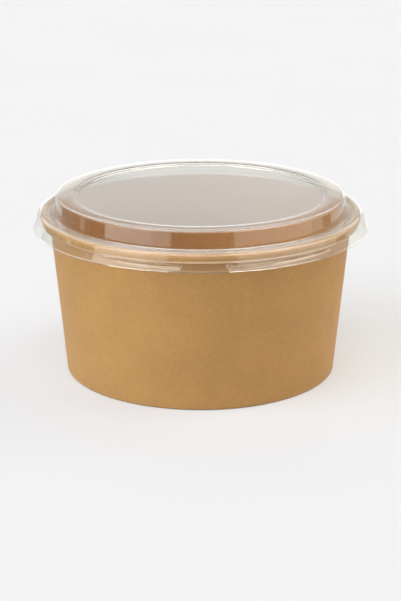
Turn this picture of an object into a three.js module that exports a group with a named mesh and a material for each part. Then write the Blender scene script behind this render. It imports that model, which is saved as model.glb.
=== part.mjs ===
// Round paper salad bowl with a clear lid that snaps over its rim.
//
// Millimetres, +Z up. The origin is the centre of the bowl's foot, on the surface that
// it stands on. Azimuth 0 is the front, towards -Y, and it grows towards +X.
//
// Three separate pieces make up the object:
//   bowl_wall  one sheet of board, wrapped into a cone, rolled outwards at the top into
//              the rim and folded inwards at the bottom into the foot
//   base_disc  the raised floor, whose flange turns down inside the folded foot
//   lid        one thin thermoformed sheet: recessed panel, raised ring, sloping side,
//              ledge, channel over the rim and skirt with pressed-in snap pockets
//
// Every piece is a thin sheet that is turned about the Z axis, so each is written as the
// line that runs through the middle of its sheet, which is thickened and then revolved.

import * as THREE from 'three';

// ---- Driving dimensions ----------------------------------------------------

const TURN_STEPS = 72;          // flat faces round each turned piece
const ARC_STEP_DEG = 45;        // one flat for at most this much of a rounded corner
const SHARPEST_MITRE = 0.5;     // least cosine of half a bend that a sheet is mitred for
const HALF_TURN_DEG = 180;
const FULL_TURN_DEG = 360;

const BOARD = 0.5;              // thickness of the paper board
const BOWL_HEIGHT = 75.8;
const BOWL_RIM_RADIUS = 74.6;   // outermost reach of the rolled rim
const BOWL_FOOT_RADIUS = 63.4;  // outer face of the wall where it stands
const RIM_ROLL_RADIUS = 2.4;    // outside of the rolled rim's own section
const ROLL_END_DEG = -128;      // where the rolled edge stops, under the rim
const SHEET_GAP = 0.3;          // air between two sheets that lie together
const FOOT_FOLD_RADIUS = 0.75;  // bend of the fold that the bowl stands on
const HEM_HEIGHT = 6.2;         // how far the wall is folded back up inside

const FLOOR_TOP = 7.5;          // upper face of the bowl's floor
const FLOOR_BEND_RADIUS = 0.9;  // bend from the floor into its flange
const FLANGE_END = 1.1;         // lowest point of the floor's flange
const FLANGE_LAYER = 1;         // sheets at the foot are counted inwards from the wall
const HEM_LAYER = 2;

const FILM = 0.4;               // thickness of the clear lid sheet
const LID_TOP = 84.2;           // upper face of the raised ring
const PANEL_DEPTH = 1.45;       // panel below the ring
const PANEL_RADIUS = 57.3;      // foot of the step between panel and ring
const RING_INNER_RADIUS = 59.1;
const RING_OUTER_RADIUS = 67.2;
const SIDE_FOOT_RADIUS = 68.0;  // bottom of the sloping side
const LEDGE_Z = 76.4;           // upper face of the ledge between side and channel
const GROOVE_INNER_RADIUS = 69.3;
const GROOVE_OUTER_RADIUS = 70.7;
const GROOVE_DEPTH = 0.3;
const CHANNEL_TOP = 76.7;       // upper face of the channel that covers the rim
const CHANNEL_INNER_RADIUS = 72.1;
const CHANNEL_RADIUS = 75.9;    // outer face of the channel
const STEP_TOP = 72.9;          // small outward step below the channel
const STEP_BOTTOM = 72.3;
const STEP_RADIUS = 76.3;
const SKIRT_RADIUS = 77.8;      // outermost reach of the lid
const SKIRT_END = 68.4;         // lowest point of the lid
const LIP_WIDTH = 0.45;         // the skirt's edge turns out by this much
const LIP_HEIGHT = 0.7;

const SOFT_CORNER = 1.0;        // corner radii of the formed sheet
const RING_CORNER = 1.8;
const CHANNEL_CORNER = 1.9;

const POCKET_DEPTH = 1.1;       // the snap pockets press in under the rolled rim
const POCKET_TOP = 71.9;
const POCKET_BOTTOM = 69.3;
const POCKET_UPPER_SLOPE = 0.4; // height of a pocket's short upper side
const POCKET_LOWER_SLOPE = 1.8; // height of its long lower side
const POCKET_RAMP_DEG = 5;      // length of a pocket's sloping end
// Two pockets at the front, repeated half a turn on at the back.
const FRONT_POCKETS_DEG = [[-35, -5], [10, 50]];

// ---- Materials -------------------------------------------------------------

const kraftBoard = new THREE.MeshStandardMaterial({
  color: 0xc3935a,
  roughness: 0.72,
  metalness: 0,
});

const kraftFloor = new THREE.MeshStandardMaterial({
  color: 0xb98750,
  roughness: 0.6,
  metalness: 0,
});

const clearFilm = new THREE.MeshStandardMaterial({
  color: 0xeeeeea,
  roughness: 0.05,
  metalness: 0,
  transparent: true,
  opacity: 0.25,
});

// ---- Outlines --------------------------------------------------------------

// Every outline lies in the half-plane of radius (x) and height (y).

const degrees = THREE.MathUtils.degToRad;

function arcPoints(centre, radius, fromDeg, toDeg) {
  const steps = Math.ceil(Math.abs(toDeg - fromDeg) / ARC_STEP_DEG);
  const points = [];
  for (let i = 0; i <= steps; i++) {
    const angle = degrees(THREE.MathUtils.lerp(fromDeg, toDeg, i / steps));
    points.push(new THREE.Vector2(
      centre.x + radius * Math.cos(angle),
      centre.y + radius * Math.sin(angle),
    ));
  }
  return points;
}

// Joins corners, each [radius, height, bend radius], with straight lines and arcs.
function bentLine(corners) {
  const points = [];
  corners.forEach(([x, y, bend], index) => {
    const corner = new THREE.Vector2(x, y);
    if (!bend) {
      points.push(corner);
      return;
    }
    const before = new THREE.Vector2(...corners[index - 1]).sub(corner).normalize();
    const after = new THREE.Vector2(...corners[index + 1]).sub(corner).normalize();
    const halfAngle = before.angleTo(after) / 2;
    const toCentre = before.clone().add(after).setLength(bend / Math.sin(halfAngle));
    const centre = corner.clone().add(toCentre);
    const reach = bend / Math.tan(halfAngle);
    const start = corner.clone().addScaledVector(before, reach).sub(centre);
    const end = corner.clone().addScaledVector(after, reach).sub(centre);
    const startDeg = THREE.MathUtils.radToDeg(start.angle());
    let turnDeg = THREE.MathUtils.radToDeg(end.angle()) - startDeg;
    turnDeg -= FULL_TURN_DEG * Math.round(turnDeg / FULL_TURN_DEG);
    points.push(...arcPoints(centre, bend, startDeg, startDeg + turnDeg));
  });
  return points;
}

// Thickens a line to a closed outline, half the thickness to each side. Where the line
// starts on the axis, so do both sides.
function sheetOutline(line, thickness) {
  const sides = [[], []];
  line.forEach((point, index) => {
    const back = line[Math.max(index - 1, 0)];
    const ahead = line[Math.min(index + 1, line.length - 1)];
    const into = point.clone().sub(back).normalize();
    const out = ahead.clone().sub(point).normalize();
    const along = into.clone().add(out).normalize();
    const normal = new THREE.Vector2(along.y, -along.x);
    const stretch = 1 / Math.max(into.dot(along), SHARPEST_MITRE);
    const offset = normal.multiplyScalar(thickness / 2);
    const inner = index > 0 && index < line.length - 1;
    offset.multiplyScalar(inner ? stretch : 1);
    sides[0].push(point.clone().add(offset));
    sides[1].push(point.clone().sub(offset));
  });
  if (line[0].x === 0) {
    sides[0][0].x = 0;
    sides[1][0].x = 0;
    return [...sides[0], ...sides[1].reverse()];
  }
  return [...sides[0], ...sides[1].reverse(), sides[0][0].clone()];
}

// ---- Turned pieces ---------------------------------------------------------

function turnedGeometry(outline) {
  const geometry = new THREE.LatheGeometry(outline, TURN_STEPS);
  return geometry.rotateX(Math.PI / 2);
}

function namedMesh(name, geometry, material) {
  const mesh = new THREE.Mesh(geometry, material);
  mesh.name = name;
  return mesh;
}

// ---- Bowl ------------------------------------------------------------------

const rollLineRadius = RIM_ROLL_RADIUS - BOARD / 2;
const rollCentre = new THREE.Vector2(
  BOWL_RIM_RADIUS - RIM_ROLL_RADIUS,
  BOWL_HEIGHT - RIM_ROLL_RADIUS,
);
const wallFootRadius = BOWL_FOOT_RADIUS - BOARD / 2;
const wallTopRadius = rollCentre.x - rollLineRadius;
const wallSlope = (wallTopRadius - wallFootRadius) / rollCentre.y;
const sheetStep = BOARD + SHEET_GAP;

// Radius of the middle of the wall's sheet at a height, or of a sheet further inside.
function wallRadius(height, layer = 0) {
  return wallFootRadius + wallSlope * height - sheetStep * layer;
}

function bowlWall() {
  const foldZ = BOARD / 2;
  const foot = bentLine([
    [wallRadius(HEM_HEIGHT, HEM_LAYER), HEM_HEIGHT],
    [wallRadius(foldZ, HEM_LAYER), foldZ, FOOT_FOLD_RADIUS],
    [wallRadius(foldZ), foldZ, FOOT_FOLD_RADIUS],
    [wallTopRadius, rollCentre.y],
  ]).slice(0, -1);
  const wallLeanDeg = THREE.MathUtils.radToDeg(Math.atan(wallSlope));
  const rollStartDeg = HALF_TURN_DEG - wallLeanDeg;
  const roll = arcPoints(rollCentre, rollLineRadius, rollStartDeg, ROLL_END_DEG);
  const outline = sheetOutline([...foot, ...roll], BOARD);
  return namedMesh('bowl_wall', turnedGeometry(outline), kraftBoard);
}

function baseDisc() {
  const floorZ = FLOOR_TOP - BOARD / 2;
  const line = bentLine([
    [0, floorZ],
    [wallRadius(floorZ, FLANGE_LAYER), floorZ, FLOOR_BEND_RADIUS],
    [wallRadius(FLANGE_END, FLANGE_LAYER), FLANGE_END],
  ]);
  return namedMesh('base_disc', turnedGeometry(sheetOutline(line, BOARD)), kraftFloor);
}

// ---- Lid -------------------------------------------------------------------

function pocketRangesDeg() {
  const backPockets = FRONT_POCKETS_DEG.map(
    ([from, to]) => [from + HALF_TURN_DEG, to + HALF_TURN_DEG],
  );
  return [...FRONT_POCKETS_DEG, ...backPockets];
}

// 0 outside a span, 1 inside it, with a ramp inside each of its ends.
function plateau(value, low, high, lowRamp, highRamp) {
  const inside = Math.min((value - low) / lowRamp, (high - value) / highRamp);
  return THREE.MathUtils.clamp(inside, 0, 1);
}

function pocketDepth(azimuthDeg, height, ranges) {
  const across = plateau(
    height, POCKET_BOTTOM, POCKET_TOP, POCKET_LOWER_SLOPE, POCKET_UPPER_SLOPE,
  );
  let along = 0;
  for (const [from, to] of ranges) {
    const middle = (from + to) / 2;
    const turns = Math.round((azimuthDeg - middle) / FULL_TURN_DEG);
    const nearest = azimuthDeg - FULL_TURN_DEG * turns;
    const here = plateau(nearest, from, to, POCKET_RAMP_DEG, POCKET_RAMP_DEG);
    along = Math.max(along, here);
  }
  return POCKET_DEPTH * across * along;
}

function pressPockets(geometry) {
  const ranges = pocketRangesDeg();
  const position = geometry.getAttribute('position');
  const point = new THREE.Vector3();
  for (let i = 0; i < position.count; i++) {
    point.fromBufferAttribute(position, i);
    const azimuthDeg = THREE.MathUtils.radToDeg(Math.atan2(point.x, -point.y));
    const radius = Math.hypot(point.x, point.y);
    if (radius < CHANNEL_RADIUS - FILM) {
      continue;
    }
    const scale = 1 - pocketDepth(azimuthDeg, point.z, ranges) / radius;
    position.setXY(i, point.x * scale, point.y * scale);
  }
}

function lidLine() {
  const half = FILM / 2;
  const panelZ = LID_TOP - PANEL_DEPTH - half;
  const grooveZ = LEDGE_Z - GROOVE_DEPTH - half;
  const skirtFoot = [SKIRT_RADIUS - LIP_WIDTH - half, SKIRT_END + LIP_HEIGHT];
  const stepFoot = [STEP_RADIUS - half, STEP_BOTTOM];
  const skirtAt = (height) => THREE.MathUtils.mapLinear(
    height, stepFoot[1], skirtFoot[1], stepFoot[0], skirtFoot[0],
  );
  const pocketHeights = [
    POCKET_TOP,
    POCKET_TOP - POCKET_UPPER_SLOPE,
    POCKET_BOTTOM + POCKET_LOWER_SLOPE,
    POCKET_BOTTOM,
  ];
  return bentLine([
    [0, panelZ],
    [PANEL_RADIUS, panelZ],
    [RING_INNER_RADIUS, LID_TOP - half, SOFT_CORNER],
    [RING_OUTER_RADIUS - half, LID_TOP - half, RING_CORNER],
    [SIDE_FOOT_RADIUS - half, LEDGE_Z - half, SOFT_CORNER],
    [GROOVE_INNER_RADIUS, LEDGE_Z - half],
    [GROOVE_INNER_RADIUS + GROOVE_DEPTH, grooveZ],
    [GROOVE_OUTER_RADIUS - GROOVE_DEPTH, grooveZ],
    [GROOVE_OUTER_RADIUS, LEDGE_Z - half],
    [CHANNEL_INNER_RADIUS, LEDGE_Z - half],
    [CHANNEL_INNER_RADIUS + GROOVE_DEPTH, CHANNEL_TOP - half],
    [CHANNEL_RADIUS - half, CHANNEL_TOP - half, CHANNEL_CORNER],
    [CHANNEL_RADIUS - half, STEP_TOP],
    stepFoot,
    ...pocketHeights.map((height) => [skirtAt(height), height]),
    skirtFoot,
    [SKIRT_RADIUS, SKIRT_END + half],
  ]);
}

function lid() {
  const geometry = turnedGeometry(sheetOutline(lidLine(), FILM));
  pressPockets(geometry);
  return namedMesh('lid', geometry, clearFilm);
}

// ---- Assembly --------------------------------------------------------------

const bowlWithLid = new THREE.Group();
bowlWithLid.add(bowlWall(), baseDisc(), lid());

export default bowlWithLid;
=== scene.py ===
import math

import bmesh
import bpy
import numpy as np
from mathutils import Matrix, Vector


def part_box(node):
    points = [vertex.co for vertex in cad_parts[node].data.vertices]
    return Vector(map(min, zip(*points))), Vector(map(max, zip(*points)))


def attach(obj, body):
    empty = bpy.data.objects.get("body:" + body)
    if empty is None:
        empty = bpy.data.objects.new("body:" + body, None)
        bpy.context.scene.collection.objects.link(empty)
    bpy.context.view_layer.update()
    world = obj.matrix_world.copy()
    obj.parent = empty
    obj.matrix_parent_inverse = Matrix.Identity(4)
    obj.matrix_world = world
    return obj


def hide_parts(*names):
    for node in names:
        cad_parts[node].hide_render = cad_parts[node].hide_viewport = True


# Looks of a round kraft paper salad bowl with a clear lid that snaps over its rim.
#
# Metres, +Z up, the origin at the centre of the foot. Azimuth 0 is the front, towards -Y,
# and it grows towards +X. Each piece is one thin sheet turned about the Z axis: a line
# through the middle of the sheet is shaped for every azimuth, thickened and joined up.

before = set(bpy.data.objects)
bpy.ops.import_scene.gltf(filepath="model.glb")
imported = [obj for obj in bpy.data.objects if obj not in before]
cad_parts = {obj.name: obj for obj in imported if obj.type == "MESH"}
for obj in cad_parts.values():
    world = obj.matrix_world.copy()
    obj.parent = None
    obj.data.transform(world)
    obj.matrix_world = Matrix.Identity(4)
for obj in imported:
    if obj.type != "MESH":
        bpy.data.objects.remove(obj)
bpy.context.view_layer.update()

MM = 0.001
DEG = math.pi / 180

# ---- Sizes of the bowl -------------------------------------------------------------------

BOARD = 0.5 * MM
RIM_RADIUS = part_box("bowl_wall")[1].x
BOWL_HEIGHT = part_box("bowl_wall")[1].z
FOOT_RADIUS = 63.4 * MM
ROLL_RADIUS = 2.4 * MM
ROLL_END = -128 * DEG
SHEET_GAP = 0.3 * MM
FOLD_RADIUS = 0.75 * MM
HEM_HEIGHT = 6.2 * MM

# The glued overlap fades in above the foot and is pressed flatter in the rolled rim.
SEAM_AZIMUTH = 262 * DEG
SEAM_WIDTH = 9 * MM
SEAM_RAMP = 5 * MM
SEAM_FOOT = 0.5 * MM
SEAM_FADE = 2 * MM
SEAM_IN_ROLL = 0.5

FLOOR_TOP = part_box("base_disc")[1].z
FLOOR_BEND = 0.9 * MM
FLANGE_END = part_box("base_disc")[0].z
FLOOR_DISH_RADIUS = 56 * MM
FLOOR_DISH_RAMP = 1.5 * MM
FLOOR_DISH_DEPTH = 0.25 * MM

# ---- Sizes of the lid --------------------------------------------------------------------

FILM = 0.4 * MM
LID_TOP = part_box("lid")[1].z
LID_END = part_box("lid")[0].z
SKIRT_RADIUS = 77.8 * MM
PANEL_DEPTH = 1.45 * MM
PANEL_RADIUS = 57.3 * MM
PANEL_SAG = 0.12 * MM
RING_INNER = 59.1 * MM
RING_STEP_RUN = 0.35 * MM
RING_STEP_RISE = 0.7 * MM
RING_OUTER = 67.2 * MM
SIDE_FOOT = 68.0 * MM
FOOT_GROOVE_WIDTH = 0.5 * MM
FOOT_GROOVE_DEPTH = 0.2 * MM
LEDGE_TOP = 76.4 * MM
GROOVE_INNER = 69.3 * MM
GROOVE_OUTER = 70.7 * MM
GROOVE_DEPTH = 0.2 * MM
CHANNEL_TOP = 76.7 * MM
CHANNEL_INNER = 72.1 * MM
CHANNEL_OUTER = 75.9 * MM
STEP_TOP = 72.9 * MM
STEP_BOTTOM = 72.3 * MM
STEP_RADIUS = 76.3 * MM
LIP_WIDTH = 0.45 * MM
LIP_HEIGHT = 0.7 * MM
RING_BEND = 1.3 * MM
CHANNEL_BEND = 1.9 * MM
FINE_BEND = 0.25 * MM

POCKET_TOP = 71.9 * MM
POCKET_BOTTOM = 69.3 * MM
POCKET_UPPER_SLOPE = 0.35 * MM
POCKET_SLANT = 1.4 * MM
POCKET_SLANT_POWER = 1.5
POCKET_RAMP = 0.8 * DEG
# Start, end, depth and run of the lower side of each front pocket.
FRONT_POCKETS = (
    (-34.3 * DEG, -6.2 * DEG, 1.1 * MM, 1.9 * MM),
    (9 * DEG, 48.3 * DEG, 0.85 * MM, 1.2 * MM),
)

# ---- Unevenness of the sheets ------------------------------------------------------------

WALL_WANDER = 0.05 * MM
WALL_RIPPLE = 0.03 * MM
WALL_RIPPLE_TWIST = 90  # radians per metre of height
RIM_WAVE = 0.03 * MM
LID_WANDER = 0.04 * MM
LID_RIPPLE = 0.02 * MM
PANEL_BUCKLE = 0.015 * MM

# ---- Fineness of the meshes --------------------------------------------------------------

ARC_STEP = 9 * DEG
SHARP_ANGLE = 50 * DEG
WALL_STEP = 3 * MM
WALL_TURNS = 240
SEAM_EDGE = 0.02 * MM
SEAM_MARGIN = 1 * MM
SEAM_STRETCH_TURNS = 5
FLOOR_RING_STEP = 4 * MM
FLOOR_TURNS = 200
PANEL_RING_STEP = 5 * MM
PANEL_MARGIN = 1 * MM
LID_TURNS = 240
POCKET_RAMP_TURNS = 7
POCKET_LEVELS = 16

# ---- Camera, as fitted to the photograph -------------------------------------------------

IMAGE_HEIGHT_PX = 601
FOCAL_LENGTH_PX = 1773.5
SENSOR_WIDTH_MM = 36.0
CAMERA_DISTANCE = 0.8009
CAMERA_HEIGHT = 0.2904
CAMERA_PITCH = 17.94 * DEG


# ---- Lines -------------------------------------------------------------------------------


def arc_points(centre, radius, start, end):
    """Points on an arc in the half-plane of radius and height, both ends included."""
    count = max(1, math.ceil(abs(end - start) / ARC_STEP))
    angles = np.linspace(start, end, count + 1)
    return [(centre[0] + radius * math.cos(a), centre[1] + radius * math.sin(a)) for a in angles]


def bent_line(corners):
    """Joins corners, each (radius, height) or (radius, height, bend radius)."""
    points = []
    for i, corner in enumerate(corners):
        if len(corner) == 2:
            points.append(corner)
            continue
        here = np.array(corner[:2])
        before = np.array(corners[i - 1][:2]) - here
        after = np.array(corners[i + 1][:2]) - here
        before /= np.linalg.norm(before)
        after /= np.linalg.norm(after)
        half = math.acos(float(before @ after)) / 2
        middle = (before + after) / np.linalg.norm(before + after)
        centre = here + middle * corner[2] / math.sin(half)
        reach = corner[2] / math.tan(half)
        from_point = here + before * reach - centre
        to_point = here + after * reach - centre
        start = math.atan2(from_point[1], from_point[0])
        turn = math.atan2(to_point[1], to_point[0]) - start
        turn -= 2 * math.pi * round(turn / (2 * math.pi))
        points += arc_points(centre, corner[2], start, start + turn)
    return points


def subdivided(points, step):
    """The same line with no stretch longer than step."""
    fine = [points[0]]
    for start, end in zip(points, points[1:]):
        count = max(1, math.ceil(math.dist(start, end) / step))
        for k in range(1, count + 1):
            fine.append(tuple(np.array(start) + (np.array(end) - np.array(start)) * k / count))
    return fine


def smooth(value):
    """Smooth step from 0 to 1 as value goes from 0 to 1."""
    t = np.clip(value, 0, 1)
    return t * t * (3 - 2 * t)


# ---- Turned sheets -----------------------------------------------------------------------


def even_turns(count):
    return np.arange(count) * 2 * math.pi / count


def signed_turn(azimuth, centre):
    """Angle from centre to azimuth, from minus half a turn to half a turn."""
    return (azimuth - centre + math.pi) % (2 * math.pi) - math.pi


def waves(azimuth, count, height, phase=0.0):
    """Gentle waves, count of them in one turn."""
    return height * np.sin(count * azimuth + phase)


def unit(vectors):
    length = np.linalg.norm(vectors, axis=-1, keepdims=True)
    return vectors / np.maximum(length, 1e-12)


def sheet_sides(lines, thickness):
    """Both faces of a sheet whose middle runs along lines (azimuth, point, 2)."""
    along = unit(np.diff(lines, axis=1))
    into = np.concatenate([along[:, :1], along], axis=1)
    out = np.concatenate([along, along[:, -1:]], axis=1)
    mean = unit(into + out)
    normal = np.stack([mean[..., 1], -mean[..., 0]], axis=-1)
    stretch = 1 / np.clip(np.sum(into * mean, axis=-1), 0.5, 1)
    offset = normal * (thickness * stretch / 2)[..., None]
    return lines + offset, lines - offset


def sheet_ring(line, thickness, azimuth, shift, extra):
    """The closed outline of the sheet's section at every azimuth: (azimuth, point, 2)."""
    radius, height = np.array(line).T[:, None, :] + 0 * azimuth
    thick = np.full(radius.shape, thickness)
    if extra is not None:
        thick = thick + extra(azimuth, radius, height)
    outwards, upwards = shift(azimuth, radius, height)
    middle = np.stack([radius + outwards, height + upwards], axis=-1)
    right, left = sheet_sides(middle, thick)
    return np.concatenate([right, left[:, ::-1]], axis=1)


def ring_faces(turns, size, on_axis):
    """Faces between neighbouring outlines, as lists of corners. A corner is its vertex, its
    turn and its place along the outline. On the axis, all turns share one vertex."""
    index = np.arange(turns * size).reshape(turns, size)
    if on_axis:
        index[:, 0] = index[0, 0]
        index[:, -1] = index[0, -1]
    faces = []
    for j in range(turns):
        k = (j + 1) % turns
        for i in range(size - 1 if on_axis else size):
            n = (i + 1) % size
            quad = [(index[j, i], j, i), (index[k, i], j + 1, i)]
            quad += [(index[k, n], j + 1, i + 1), (index[j, n], j, i + 1)]
            faces.append([q for m, q in enumerate(quad) if q[0] != quad[m - 1][0]])
    return [face for face in faces if len(face) > 2]


def wrapped_map(ring, azimuths, faces):
    """Texture coordinates in metres, around and across the sheet, for every corner."""
    around = np.append(azimuths, azimuths[0] + 2 * math.pi) * np.mean(ring[..., 0])
    steps = np.linalg.norm(np.diff(ring[0], axis=0, append=ring[0][:1]), axis=-1)
    across = np.concatenate([[0], np.cumsum(steps)])
    return [(around[turn], across[place]) for face in faces for _, turn, place in face]


def finish_mesh(mesh):
    """Drops loose points, turns all faces outwards and shades the bends smooth."""
    shape = bmesh.new()
    shape.from_mesh(mesh)
    loose = [vertex for vertex in shape.verts if not vertex.link_faces]
    bmesh.ops.delete(shape, geom=loose, context="VERTS")
    bmesh.ops.recalc_face_normals(shape, faces=shape.faces)
    shape.to_mesh(mesh)
    shape.free()
    mesh.shade_smooth()
    mesh.set_sharp_from_angle(angle=SHARP_ANGLE)


def turned_sheet(name, line, thickness, azimuths, shift, extra=None, flat_map=False):
    """A closed mesh of a sheet turned about Z.

    shift(azimuth, radius, height) moves the sheet's middle and returns (radial, upwards);
    extra(azimuth, radius, height) is added thickness. flat_map takes the texture
    coordinates straight from above, for a disc. The face attribute coated is 1 on the left
    of the line and 0 on its right."""
    azimuth = azimuths[:, None]
    ring = sheet_ring(line, thickness, azimuth, shift, extra)
    on_axis = line[0][0] == 0
    if on_axis:
        ring[:, [0, -1], 0] = 0
    radius, height = ring[..., 0], ring[..., 1]
    points = np.stack([radius * np.sin(azimuth), -radius * np.cos(azimuth), height], axis=-1)
    points = points.reshape(-1, 3)
    faces = ring_faces(*ring.shape[:2], on_axis)
    vertices = [[vertex for vertex, _, _ in face] for face in faces]
    mesh = bpy.data.meshes.new(name)
    mesh.from_pydata(points, [], vertices)

    if flat_map:
        corners = points[np.concatenate(vertices), :2]
    else:
        corners = wrapped_map(ring, azimuths, faces)
    layer = mesh.uv_layers.new(name="board")
    layer.data.foreach_set("uv", np.asarray(corners, np.float32).ravel())
    coated = [float(min(place for _, _, place in face) >= len(line)) for face in faces]
    side = mesh.attributes.new("coated", "FLOAT", "FACE")
    side.data.foreach_set("value", coated)

    finish_mesh(mesh)
    piece = bpy.data.objects.new(name, mesh)
    bpy.context.scene.collection.objects.link(piece)
    return piece


# ---- Bowl --------------------------------------------------------------------------------

ROLL_LINE_RADIUS = ROLL_RADIUS - BOARD / 2
ROLL_CENTRE = (RIM_RADIUS - ROLL_RADIUS, BOWL_HEIGHT - ROLL_RADIUS)
WALL_FOOT_RADIUS = FOOT_RADIUS - BOARD / 2
WALL_TOP_RADIUS = ROLL_CENTRE[0] - ROLL_LINE_RADIUS
WALL_SLOPE = (WALL_TOP_RADIUS - WALL_FOOT_RADIUS) / ROLL_CENTRE[1]


def wall_radius(height, sheets_inside=0):
    """Radius of the middle of the wall's sheet, or of a sheet further inside."""
    return WALL_FOOT_RADIUS + WALL_SLOPE * height - (BOARD + SHEET_GAP) * sheets_inside


def seam_faces(azimuth, height):
    """How far the wall's outer and inner face stand out of place at the glued overlap."""
    distance = signed_turn(azimuth, SEAM_AZIMUTH) * wall_radius(BOWL_HEIGHT / 2)
    rise = smooth((distance + SEAM_WIDTH + SEAM_RAMP) / SEAM_RAMP)
    fall = 1 - smooth(distance / SEAM_RAMP)
    outer = np.where(distance < 0, rise, -fall)
    inner = np.where(distance < -SEAM_WIDTH, rise, -fall)
    above_foot = smooth((height - SEAM_FOOT) / SEAM_FADE)
    in_roll = smooth((height - ROLL_CENTRE[1]) / ROLL_RADIUS + 1)
    strength = above_foot * (1 - (1 - SEAM_IN_ROLL) * in_roll)
    return outer * strength * BOARD / 2, inner * strength * BOARD / 2


def wall_shift(azimuth, radius, height):
    outer, inner = seam_faces(azimuth, height)
    wander = waves(azimuth, 3, WALL_WANDER, 0.8)
    ripple = waves(azimuth, 7, WALL_RIPPLE, WALL_RIPPLE_TWIST * height)
    lift = waves(azimuth, 5, RIM_WAVE) * smooth(height / BOWL_HEIGHT)
    return (outer + inner) / 2 + wander + ripple, lift


def wall_extra(azimuth, radius, height):
    outer, inner = seam_faces(azimuth, height)
    return outer - inner


def wall_turns():
    """Even azimuths, with more of them where the glued overlap begins and ends."""
    radius = wall_radius(BOWL_HEIGHT / 2)
    stops = [
        -SEAM_WIDTH - SEAM_RAMP, -SEAM_WIDTH - SEAM_EDGE, -SEAM_WIDTH + SEAM_EDGE,
        -SEAM_EDGE, SEAM_EDGE, SEAM_RAMP,
    ]
    close = [np.linspace(a, b, SEAM_STRETCH_TURNS) for a, b in zip(stops, stops[1:])]
    close = SEAM_AZIMUTH + np.unique(np.round(np.concatenate(close) / radius, 9))
    even = even_turns(WALL_TURNS)
    distance = np.abs(signed_turn(even, SEAM_AZIMUTH)) * radius
    away = distance > SEAM_WIDTH + SEAM_RAMP + SEAM_MARGIN
    return np.sort(np.concatenate([even[away], close]))


def make_wall():
    """From the hem's upper edge down to the folded foot, up the wall and around the roll."""
    fold = BOARD / 2
    foot = bent_line([
        (wall_radius(HEM_HEIGHT, 2), HEM_HEIGHT),
        (wall_radius(fold, 2), fold, FOLD_RADIUS),
        (wall_radius(fold), fold, FOLD_RADIUS),
        (WALL_TOP_RADIUS, ROLL_CENTRE[1]),
    ])[:-1]
    roll_start = math.pi - math.atan(WALL_SLOPE)
    roll = arc_points(ROLL_CENTRE, ROLL_LINE_RADIUS, roll_start, ROLL_END)
    line = subdivided(foot + roll, WALL_STEP)
    return turned_sheet("kraft_wall", line, BOARD, wall_turns(), wall_shift, wall_extra)


def floor_shift(azimuth, radius, height):
    """The floor's middle is pressed down a little."""
    inside = smooth((FLOOR_DISH_RADIUS - radius) / FLOOR_DISH_RAMP)
    return 0 * azimuth, inside * -FLOOR_DISH_DEPTH


def make_floor_disc():
    middle = FLOOR_TOP - BOARD / 2
    line = subdivided(bent_line([
        (0, middle),
        (wall_radius(middle, 1), middle, FLOOR_BEND),
        (wall_radius(FLANGE_END, 1), FLANGE_END),
    ]), FLOOR_RING_STEP)
    azimuths = even_turns(FLOOR_TURNS)
    return turned_sheet("kraft_floor", line, BOARD, azimuths, floor_shift, flat_map=True)


# ---- Lid ---------------------------------------------------------------------------------


def pocket_ranges():
    """The two pockets at the front, and the same two again half a turn on."""
    return [
        (start + turn, end + turn, *section)
        for turn in (0, math.pi) for start, end, *section in FRONT_POCKETS
    ]


def pocket_depth(azimuth, height):
    """Each pocket has a short upper side and a long lower side, whose foot rises from the
    end near the front, or near the back, to the other end."""
    depth = 0 * azimuth * height
    upper = smooth((POCKET_TOP - height) / POCKET_UPPER_SLOPE)
    for start, end, most, run in pocket_ranges():
        centre, span = (start + end) / 2, end - start
        turn = signed_turn(azimuth, centre)
        along = smooth((span / 2 - np.abs(turn)) / POCKET_RAMP)
        leading = 1 if centre % math.pi > math.pi / 2 else -1
        outer = np.clip(0.5 - leading * turn / span, 0, 1)
        foot = POCKET_BOTTOM + POCKET_SLANT * outer ** POCKET_SLANT_POWER
        lower = np.clip((height - foot) / run, 0, 1)
        depth = np.maximum(depth, most * along * upper * lower)
    return depth


def lid_shift(azimuth, radius, height):
    """The panel's middle point stays on the axis."""
    pressed = np.where(radius > CHANNEL_OUTER - FILM, pocket_depth(azimuth, height), 0)
    wander = waves(azimuth, 4, LID_WANDER, 1.1) + waves(azimuth, 9, LID_RIPPLE, 2.0)
    from_middle = np.minimum(radius / PANEL_RADIUS, 1) ** 2
    sag = -PANEL_SAG * (1 - from_middle)
    buckle = waves(azimuth, 5, PANEL_BUCKLE, 0.4) * from_middle
    return wander * (radius > 0) - pressed, sag + buckle


def lid_turns():
    """Even azimuths, with more of them where the pockets begin and end."""
    ramp = np.linspace(0, POCKET_RAMP, POCKET_RAMP_TURNS)
    close = [
        turns for start, end, *_ in pocket_ranges() for turns in (start + ramp, end - ramp)
    ]
    turns = np.concatenate([even_turns(LID_TURNS), *close])
    return np.unique(np.round(turns % (2 * math.pi), 6))


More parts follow.
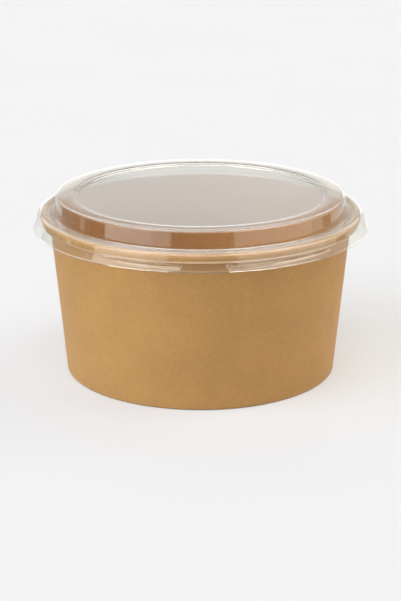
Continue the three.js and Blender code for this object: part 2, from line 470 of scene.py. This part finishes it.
def lid_line():
    """From the panel's middle over the ring, the ledge and the channel down to the lip."""
    half = FILM / 2
    panel = LID_TOP - PANEL_DEPTH - half
    ring_step = panel + RING_STEP_RISE
    ring = LID_TOP - half
    ledge = LEDGE_TOP - half
    groove = ledge - GROOVE_DEPTH
    foot_groove = ledge - FOOT_GROOVE_DEPTH
    foot_groove_end = SIDE_FOOT + FOOT_GROOVE_WIDTH
    channel = CHANNEL_TOP - half
    step_foot = (STEP_RADIUS - half, STEP_BOTTOM)
    skirt_foot = (SKIRT_RADIUS - LIP_WIDTH - half, LID_END + LIP_HEIGHT)
    lean = (skirt_foot[0] - step_foot[0]) / (step_foot[1] - skirt_foot[1])
    levels = np.linspace(POCKET_TOP, POCKET_BOTTOM, POCKET_LEVELS)
    skirt = [(step_foot[0] + lean * (step_foot[1] - level), level) for level in levels]
    flat = [(r, panel) for r in np.arange(0, PANEL_RADIUS - PANEL_MARGIN, PANEL_RING_STEP)]
    shaped = bent_line([
        flat[-1],
        (PANEL_RADIUS, panel, FINE_BEND),
        (PANEL_RADIUS + RING_STEP_RUN, ring_step, FINE_BEND),
        (RING_INNER - RING_STEP_RUN, ring_step, FINE_BEND),
        (RING_INNER, ring, FINE_BEND),
        (RING_OUTER - half, ring, RING_BEND),
        (SIDE_FOOT - half, foot_groove, FINE_BEND),
        (foot_groove_end, foot_groove, FINE_BEND / 2),
        (foot_groove_end + FOOT_GROOVE_DEPTH, ledge, FINE_BEND / 2),
        (GROOVE_INNER, ledge, FINE_BEND),
        (GROOVE_INNER + GROOVE_DEPTH, groove, FINE_BEND),
        (GROOVE_OUTER - GROOVE_DEPTH, groove, FINE_BEND),
        (GROOVE_OUTER, ledge, FINE_BEND),
        (CHANNEL_INNER, ledge, FINE_BEND),
        (CHANNEL_INNER + GROOVE_DEPTH, channel, FINE_BEND),
        (CHANNEL_OUTER - half, channel, CHANNEL_BEND),
        (CHANNEL_OUTER - half, STEP_TOP, FINE_BEND),
        (*step_foot, FINE_BEND),
        *skirt,
        (*skirt_foot, FINE_BEND),
        (SKIRT_RADIUS, LID_END + half),
    ])
    return flat[:-1] + shaped


def make_lid():
    return turned_sheet("film_lid", lid_line(), FILM, lid_turns(), lid_shift)


# ---- Material nodes ----------------------------------------------------------------------


def add(tree, kind, inputs=None, **settings):
    """A new node with its settings and inputs. An input that is a socket is linked."""
    node = tree.nodes.new(kind)
    for name, value in settings.items():
        setattr(node, name, value)
    for name, value in (inputs or {}).items():
        if isinstance(value, bpy.types.NodeSocket):
            tree.links.new(value, node.inputs[name])
        else:
            node.inputs[name].default_value = value
    return node


def math_node(tree, operation, *values):
    return add(tree, "ShaderNodeMath", dict(enumerate(values)), operation=operation).outputs[0]


def weighted_sum(tree, *parts):
    """The sum of value times weight over parts, each (value, weight)."""
    total = 0.0
    for value, weight in parts:
        total = math_node(tree, "ADD", math_node(tree, "MULTIPLY", value, weight), total)
    return total


def between(tree, value, low, high, to_low=0.0, to_high=1.0):
    """value, smoothly mapped from low..high to to_low..to_high."""
    inputs = {"Value": value, "From Min": low, "From Max": high}
    inputs.update({"To Min": to_low, "To Max": to_high})
    node = add(tree, "ShaderNodeMapRange", inputs, interpolation_type="SMOOTHSTEP")
    return node.outputs[0]


def window(tree, value, low, high, soft):
    """1 from low to high and 0 outside, with soft edges."""
    rising = between(tree, value, low - soft, low + soft)
    falling = between(tree, value, high - soft, high + soft, 1, 0)
    return math_node(tree, "MULTIPLY", rising, falling)


def noise(tree, place, scale, detail, roughness=0.55, dimensions="2D"):
    inputs = {"Vector": place, "Scale": scale, "Detail": detail, "Roughness": roughness}
    return add(tree, "ShaderNodeTexNoise", inputs, noise_dimensions=dimensions).outputs[0]


def object_place(tree):
    return add(tree, "ShaderNodeTexCoord").outputs["Object"]


def length_of(tree, vector):
    inputs = {0: vector}
    return add(tree, "ShaderNodeVectorMath", inputs, operation="LENGTH").outputs["Value"]


def scaled(tree, vector, factor):
    inputs = {0: vector, "Scale": factor}
    return add(tree, "ShaderNodeVectorMath", inputs, operation="SCALE").outputs[0]


def bumped(tree, strength, distance, height):
    inputs = {"Strength": strength, "Distance": distance, "Height": height}
    return add(tree, "ShaderNodeBump", inputs).outputs[0]


def mixed_colour(tree, share, first, second):
    """The colour first where share is 0, and second where it is 1."""
    inputs = {0: share, 6: first, 7: second}
    return add(tree, "ShaderNodeMix", inputs, data_type="RGBA").outputs[2]


def mixed_shader(tree, share, first, second):
    """The shader first where share is 0, and second where it is 1."""
    return add(tree, "ShaderNodeMixShader", {0: share, 1: first, 2: second}).outputs[0]


def new_material(name):
    material = bpy.data.materials.new(name)
    material.use_nodes = True
    material.node_tree.nodes.clear()
    return material, material.node_tree


# ---- Kraft board -------------------------------------------------------------------------

KRAFT = (0.468, 0.243, 0.063)
KRAFT_DARK = (0.402, 0.204, 0.055)
KRAFT_PALE = (0.52, 0.29, 0.095)
KRAFT_SPECK = tuple(0.55 * part for part in KRAFT_DARK)
CLOUDS_PER_METRE = 55
MOTTLES_PER_METRE = 420
GRAINS_PER_METRE = 900
SPECKS_PER_METRE = 260
SPECK_EDGE = (0.04, 0.09)
SPECK_GROUPS_PER_METRE = 230
SPECK_GROUP_EDGE = (0.52, 0.6)
# Length and width of the fibres, and the level of noise from which a fibre shows.
PALE_FIBRE = (1.6 * MM, 0.16 * MM, 0.60)
DARK_FIBRE = (2.2 * MM, 0.22 * MM, 0.63)
FIBRE_EDGE = 0.1
PALE_FIBRE_TURNS = (8 * DEG, -27 * DEG, 63 * DEG, 105 * DEG)
DARK_FIBRE_TURNS = (39 * DEG, 11 * DEG, 108 * DEG, 157 * DEG)
PALE_FIBRE_SHARE = 0.30
DARK_FIBRE_SHARE = 0.28
FLAW_SHARE = 0.45
GRAIN_RELIEF = 0.06 * MM
# Painted light: the coated inside wall is made lighter, and the rolled rim less so, in place of
# the light that falls on them.
INSIDE_PAINTED_LIGHT = 1.33
RIM_PAINTED_LIGHT = 1.2
# Painted shadow: the board is darkened at the fold that the bowl stands on, in place of the
# shadow under it.
FOOT_PAINTED_SHADOW = 0.4
FOOT_PAINTED_SHADOW_BOTTOM = 0.1 * MM
FOOT_PAINTED_SHADOW_TOP = 0.9 * MM
GLOSS = 0.45
COATED_GLOSS = 0.55
COATED_SMOOTHER = 0.25


def fibre_layer(tree, place, turns, fibre_length, width, threshold):
    """Thin streaks in several directions: 1 on a fibre and 0 beside it."""
    layer = 0.0
    for turn in turns:
        inputs = {"Vector": place, "Rotation": (0, 0, turn)}
        inputs["Scale"] = (1 / fibre_length, 1 / width, 1)
        stretched = add(tree, "ShaderNodeMapping", inputs).outputs[0]
        streaks = noise(tree, stretched, scale=1, detail=1, roughness=0.4)
        streaks = between(tree, streaks, threshold, threshold + FIBRE_EDGE)
        layer = math_node(tree, "MAXIMUM", streaks, layer)
    return layer


def board_specks(tree, place):
    """Small specks, here and there."""
    inputs = {"Vector": place, "Scale": SPECKS_PER_METRE}
    cells = add(tree, "ShaderNodeTexVoronoi", inputs, voronoi_dimensions="2D")
    speck = between(tree, cells.outputs["Distance"], *SPECK_EDGE, 1, 0)
    shown = between(tree, noise(tree, place, SPECK_GROUPS_PER_METRE, 1), *SPECK_GROUP_EDGE)
    return math_node(tree, "MULTIPLY", speck, shown)


def board_colour(tree, place, grain, pale, dark):
    """Mottled brown with its pale and dark fibres and its specks."""
    cloud = between(tree, noise(tree, place, CLOUDS_PER_METRE, 4), 0.25, 0.75)
    mottle = noise(tree, place, MOTTLES_PER_METRE, 2)
    tone = weighted_sum(tree, (cloud, 0.2), (mottle, 0.4), (grain, 0.4))
    tone = between(tree, tone, 0.28, 0.72)
    pale_share = math_node(tree, "MULTIPLY", pale, PALE_FIBRE_SHARE)
    dark_share = math_node(tree, "MULTIPLY", dark, DARK_FIBRE_SHARE)
    flaws = math_node(tree, "MAXIMUM", dark_share, board_specks(tree, place))
    flaws = math_node(tree, "MULTIPLY", flaws, FLAW_SHARE)
    colour = mixed_colour(tree, tone, (*KRAFT_DARK, 1), (*KRAFT, 1))
    colour = mixed_colour(tree, pale_share, colour, (*KRAFT_PALE, 1))
    return mixed_colour(tree, flaws, colour, (*KRAFT_SPECK, 1))


def painted_board_shading(tree, coated):
    """Coated faces are painted lighter, the inside wall most (painted light), and the fold that
    the bowl stands on is painted dark (a painted shadow).
    """
    height = add(tree, "ShaderNodeSeparateXYZ", {0: object_place(tree)}).outputs[2]
    roll_bottom = BOWL_HEIGHT - 2 * ROLL_RADIUS
    painted_light = between(tree, height, roll_bottom, ROLL_CENTRE[1], INSIDE_PAINTED_LIGHT, RIM_PAINTED_LIGHT)
    face = between(tree, coated, 0, 1, 1, painted_light)
    foot_shadow = between(tree, height, FOOT_PAINTED_SHADOW_BOTTOM, FOOT_PAINTED_SHADOW_TOP, FOOT_PAINTED_SHADOW, 1)
    return math_node(tree, "MULTIPLY", face, foot_shadow)


def kraft_material(name, roughness, relief):
    """Bare board outside, with the smoother coated face inside and on the rolled rim."""
    material, tree = new_material(name)
    coated = add(tree, "ShaderNodeAttribute", attribute_name="coated").outputs["Fac"]
    place = add(tree, "ShaderNodeUVMap", uv_map="board").outputs[0]
    grain = noise(tree, place, GRAINS_PER_METRE, 3)
    pale = fibre_layer(tree, place, PALE_FIBRE_TURNS, *PALE_FIBRE)
    dark = fibre_layer(tree, place, DARK_FIBRE_TURNS, *DARK_FIBRE)
    colour = board_colour(tree, place, grain, pale, dark)
    height = weighted_sum(tree, (pale, 0.5), (grain, 1), (dark, -0.4))
    rough = between(tree, grain, 0.3, 0.7, roughness - 0.04, roughness + 0.05)
    shader = add(tree, "ShaderNodeBsdfPrincipled", {
        "Base Color": scaled(tree, colour, painted_board_shading(tree, coated)),
        "Roughness": weighted_sum(tree, (rough, 1), (coated, -COATED_SMOOTHER)),
        "Specular IOR Level": between(tree, coated, 0, 1, GLOSS, COATED_GLOSS),
        "Normal": bumped(tree, relief, GRAIN_RELIEF, height),
    })
    add(tree, "ShaderNodeOutputMaterial", {"Surface": shader.outputs[0]})
    return material


# ---- Clear film --------------------------------------------------------------------------

FILM_IOR = 1.57
FILM_TINT = (0.965, 0.955, 0.925)
FILM_SCATTER = (0.62, 0.62, 0.61)
RIPPLES_PER_METRE = 90
RIPPLE_STRENGTH = 0.25
RIPPLE_HEIGHT = 0.03 * MM
RING_HAZE = 0.4
OUTER_HAZE = 0.2
HAZE_POWER = 3.0


def film_glass(tree, place):
    """Refracting sheet whose faces ripple a little."""
    ripple = noise(tree, place, RIPPLES_PER_METRE, 1.5, 0.5, "3D")
    return add(tree, "ShaderNodeBsdfPrincipled", {
        "Base Color": (*FILM_TINT, 1),
        "Roughness": between(tree, ripple, 0.3, 0.7, 0.015, 0.045),
        "IOR": FILM_IOR,
        "Transmission Weight": 1.0,
        "Normal": bumped(tree, RIPPLE_STRENGTH, RIPPLE_HEIGHT, ripple),
    }).outputs[0]


def film_haze(tree, place):
    """How milky the sheet looks: more at a slant, most on the panel, and less on the ring and
    outside it."""
    inputs = {0: place, 1: (1, 1, 0)}
    level = add(tree, "ShaderNodeVectorMath", inputs, operation="MULTIPLY").outputs[0]
    radius = length_of(tree, level)
    on_ring = between(tree, radius, PANEL_RADIUS, RING_INNER, 1, RING_HAZE)
    outside = between(tree, radius, RING_INNER, RING_OUTER, 1, OUTER_HAZE / RING_HAZE)
    most = math_node(tree, "MULTIPLY", on_ring, outside)
    slant = add(tree, "ShaderNodeLayerWeight", {"Blend": 0.5}).outputs["Facing"]
    return math_node(tree, "MULTIPLY", math_node(tree, "POWER", slant, HAZE_POWER), most)


def film_shadow(tree):
    """Passes light straight on, less what the two faces mirror away."""
    lost = add(tree, "ShaderNodeFresnel", {"IOR": FILM_IOR}).outputs[0]
    kept = math_node(tree, "POWER", math_node(tree, "SUBTRACT", 1.0, lost), 2.0)
    leaving = add(tree, "ShaderNodeNewGeometry").outputs["Backfacing"]
    kept = math_node(tree, "MAXIMUM", kept, leaving)
    return add(tree, "ShaderNodeBsdfTransparent", {"Color": kept}).outputs[0]


def film_material():
    """Clear glossy sheet with a haze. Lamps and bounced light pass straight through it, so
    that the board under the lid is lit, and all else refracts."""
    material, tree = new_material("clear_film")
    place = object_place(tree)
    scatter = add(tree, "ShaderNodeBsdfDiffuse", {"Color": (*FILM_SCATTER, 1)}).outputs[0]
    seen = mixed_shader(tree, film_haze(tree, place), film_glass(tree, place), scatter)
    path = add(tree, "ShaderNodeLightPath").outputs
    passing = math_node(tree, "MAXIMUM", path["Is Shadow Ray"], path["Is Diffuse Ray"])
    mixed = mixed_shader(tree, passing, seen, film_shadow(tree))
    add(tree, "ShaderNodeOutputMaterial", {"Surface": mixed})
    return material


# ---- Table -------------------------------------------------------------------------------

TABLE_RADIUS = 12.0
TABLE_SIDES = 96
TABLE_GAP = 0.05 * MM
TABLE_COLOUR = (0.462, 0.461, 0.459)
TABLE_CLOUDS_PER_METRE = 6
TABLE_MOTTLE = 0.01
TABLE_GLOW = 0.4
TABLE_EDGE = 0.15
TABLE_EDGE_SOFTNESS = 0.03
FOOT_SHADE = 5 * MM


def table_material():
    """Pale matt table that glows a little, but not under the bowl. What mirrors it sees the
    room instead, past a soft edge near the bowl."""
    material, tree = new_material("pale_table")
    place = object_place(tree)
    cloud = noise(tree, place, TABLE_CLOUDS_PER_METRE, 2, 0.5, "3D")
    tone = between(tree, cloud, 0.2, 0.8, 1 - TABLE_MOTTLE, 1 + TABLE_MOTTLE)
    colour = scaled(tree, TABLE_COLOUR, tone)
    matt = add(tree, "ShaderNodeBsdfDiffuse", {"Color": colour}).outputs[0]
    distance = length_of(tree, place)
    open_air = between(tree, distance, FOOT_RADIUS - FOOT_SHADE, FOOT_RADIUS, 0, TABLE_GLOW)
    glow = add(tree, "ShaderNodeEmission", {"Strength": open_air}).outputs[0]
    lit = add(tree, "ShaderNodeAddShader", {0: matt, 1: glow}).outputs[0]
    near, far = TABLE_EDGE - TABLE_EDGE_SOFTNESS, TABLE_EDGE + TABLE_EDGE_SOFTNESS
    glossy = add(tree, "ShaderNodeLightPath").outputs["Is Glossy Ray"]
    mirrored = math_node(tree, "MULTIPLY", between(tree, distance, near, far), glossy)
    through = add(tree, "ShaderNodeBsdfTransparent").outputs[0]
    mixed = mixed_shader(tree, mirrored, lit, through)
    add(tree, "ShaderNodeOutputMaterial", {"Surface": mixed})
    return material


def make_table():
    """A wide round table top, just under the foot."""
    mesh = bpy.data.meshes.new("table_top")
    shape = bmesh.new()
    bmesh.ops.create_circle(shape, cap_ends=True, segments=TABLE_SIDES, radius=TABLE_RADIUS)
    shape.to_mesh(mesh)
    shape.free()
    table = bpy.data.objects.new("table_top", mesh)
    table.location.z = -TABLE_GAP
    bpy.context.scene.collection.objects.link(table)
    mesh.materials.append(table_material())


# ---- Studio ------------------------------------------------------------------------------

# What the glossy sheet mirrors, by direction in degrees: azimuth from and to, elevation
# from and to, and the radiance at the lower and at the upper edge.
MIRRORED_PATCHES = (
    # Soft box on the left, and the dark wall beside it with its slit of light.
    (-38, -23, -18, 60, 1.25, 2.2),
    (-78, -38, -18, 60, 1.4, 4.2),
    (-138, -79, -18, 10, 0.1, 0.3),
    (-138, -94, 10, 30, 0.3, 0.6),
    (-94, -79, 10, 30, 0.9, 0.9),
    (-106, -101, -18, 2, 0.6, 0.6),
    (-138, -78, 30, 60, 1.2, 3.2),
    # Dark gap in front, with light above it.
    (-23, 26, -14, 28, 0.3, 0.3),
    (-23, 26, 28, 60, 2.8, 2.0),
    # Soft box on the right, and the dark slit beside it.
    (26, 95, -18, 13, 1.2, 1.2),
    (95, 109, -18, 13, 0.8, 0.8),
    (26, 109, 13, 60, 1.5, 4.8),
    (109, 121, -18, 2, 0.12, 0.12),
    (109, 121, 2, 60, 0.7, 2.6),
    # Pale room behind.
    (-165, -138, -18, 17, 0.8, 0.7),
    (-165, -138, 17, 60, 1.5, 0.6),
    (121, 160, -18, 17, 0.8, 0.6),
    (160, 195, -18, -4, 0.85, 0.85),
    (160, 195, -4, 12, 1.5, 1.5),
    (160, 195, 12, 17, 1.4, 0.1),
    (121, 195, 17, 60, 1.4, 0.45),
    # Ceiling, and the ground all around.
    (-90, -55, 60, 78, 4.6, 4.6),
    (-55, 0, 60, 78, 3.3, 3.3),
    (0, 60, 60, 78, 1.4, 1.4),
    (60, 90, 60, 78, 2.4, 2.4),
    (90, 270, 60, 78, 2.7, 2.7),
    (-180, 180, 78, 92, 1.1, 1.1),
    (-180, 180, -50, -18, 0.6, 0.6),
)
PATCH_SOFTNESS = 1.5
ROOM_RADIANCE = 0.06
ROOM_TINT = (1, 0.995, 0.965)

# Wide soft boxes, far away, that light the matt surfaces. Each has its azimuth, elevation
# and angular width in degrees, its strength and its share of the warm tint. A share below
# zero is cool.
SOFT_BOXES = (
    (-6, 48, 50, 0.95, 0.5),
    (-14, 18, 50, 0.32, 1),
    (0, 80, 45, 0.65, 0),
    (-71, 18, 60, 2.5, -2),
    (104, 18, 60, 2.15, 1),
    (-162, 20, 70, 0.6, 0),
    (180, 48, 50, 0.4, 0),
)
WARM_TINT = (0.05, 0, -0.10)


def world_direction(tree):
    """Azimuth from 0 to 360 and elevation of a direction, both in degrees."""
    direction = add(tree, "ShaderNodeTexCoord").outputs["Generated"]
    axis = add(tree, "ShaderNodeSeparateXYZ", {0: direction}).outputs
    backward = math_node(tree, "MULTIPLY", axis[0], -1.0)
    turn = math_node(tree, "DEGREES", math_node(tree, "ARCTAN2", backward, axis[1]))
    azimuth = math_node(tree, "ADD", turn, 180.0)
    elevation = math_node(tree, "DEGREES", math_node(tree, "ARCSINE", axis[2]))
    return azimuth, elevation


def patch_radiance(tree, azimuth, elevation, patch):
    start, end, low, high, low_radiance, high_radiance = patch
    offset = math_node(tree, "SUBTRACT", azimuth, (start + end) / 2)
    offset = math_node(tree, "WRAP", offset, 180.0, -180.0)
    half_width = (end - start) / 2
    sides = window(tree, offset, -half_width, half_width, PATCH_SOFTNESS)
    ends = window(tree, elevation, low, high, PATCH_SOFTNESS)
    inputs = {"Value": elevation, "From Min": low, "From Max": high}
    inputs.update({"To Min": low_radiance, "To Max": high_radiance})
    rising = add(tree, "ShaderNodeMapRange", inputs).outputs[0]
    return math_node(tree, "MULTIPLY", math_node(tree, "MULTIPLY", sides, ends), rising)


def make_room():
    """The world, which only mirrors and clear sheets see."""
    world = bpy.data.worlds.new("studio")
    bpy.context.scene.world = world
    world.cycles_visibility.diffuse = False
    world.use_nodes = True
    tree = world.node_tree
    tree.nodes.clear()
    azimuth, elevation = world_direction(tree)
    total = ROOM_RADIANCE
    for patch in MIRRORED_PATCHES:
        total = math_node(tree, "ADD", patch_radiance(tree, azimuth, elevation, patch), total)
    inputs = {"Color": (*ROOM_TINT, 1), "Strength": total}
    background = add(tree, "ShaderNodeBackground", inputs).outputs[0]
    add(tree, "ShaderNodeOutputWorld", {"Surface": background})


def make_soft_box(number, azimuth, elevation, width, strength, warmth):
    light = bpy.data.lights.new(f"soft_box_{number}", "SUN")
    light.angle = width * DEG
    light.energy = strength
    light.color = [1 + warmth * part for part in WARM_TINT]
    box = bpy.data.objects.new(light.name, light)
    box.rotation_euler = ((90 - elevation) * DEG, 0, azimuth * DEG)
    box.visible_glossy = False
    box.visible_transmission = False
    bpy.context.scene.collection.objects.link(box)


def make_camera():
    lens = bpy.data.cameras.new("photo_camera")
    lens.sensor_width = SENSOR_WIDTH_MM
    lens.lens = FOCAL_LENGTH_PX * SENSOR_WIDTH_MM / IMAGE_HEIGHT_PX
    lens.clip_start = 0.01
    camera = bpy.data.objects.new("photo_camera", lens)
    camera.location = (0, -CAMERA_DISTANCE, CAMERA_HEIGHT)
    camera.rotation_euler = (math.pi / 2 - CAMERA_PITCH, 0, 0)
    bpy.context.scene.collection.objects.link(camera)
    bpy.context.scene.camera = camera
    bpy.context.scene.view_settings.view_transform = "Standard"


# ---- Assembly ----------------------------------------------------------------------------


def dress(piece, material, node):
    piece.data.materials.append(material)
    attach(piece, "root")
    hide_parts(node)


make_camera()
make_room()
for box_number, soft_box in enumerate(SOFT_BOXES):
    make_soft_box(box_number, *soft_box)
make_table()

wall_board = kraft_material("kraft_wall", roughness=0.55, relief=0.35)
floor_board = kraft_material("kraft_floor", roughness=0.45, relief=0.2)
dress(make_wall(), wall_board, "bowl_wall")
dress(make_floor_disc(), floor_board, "base_disc")
dress(make_lid(), film_material(), "lid")
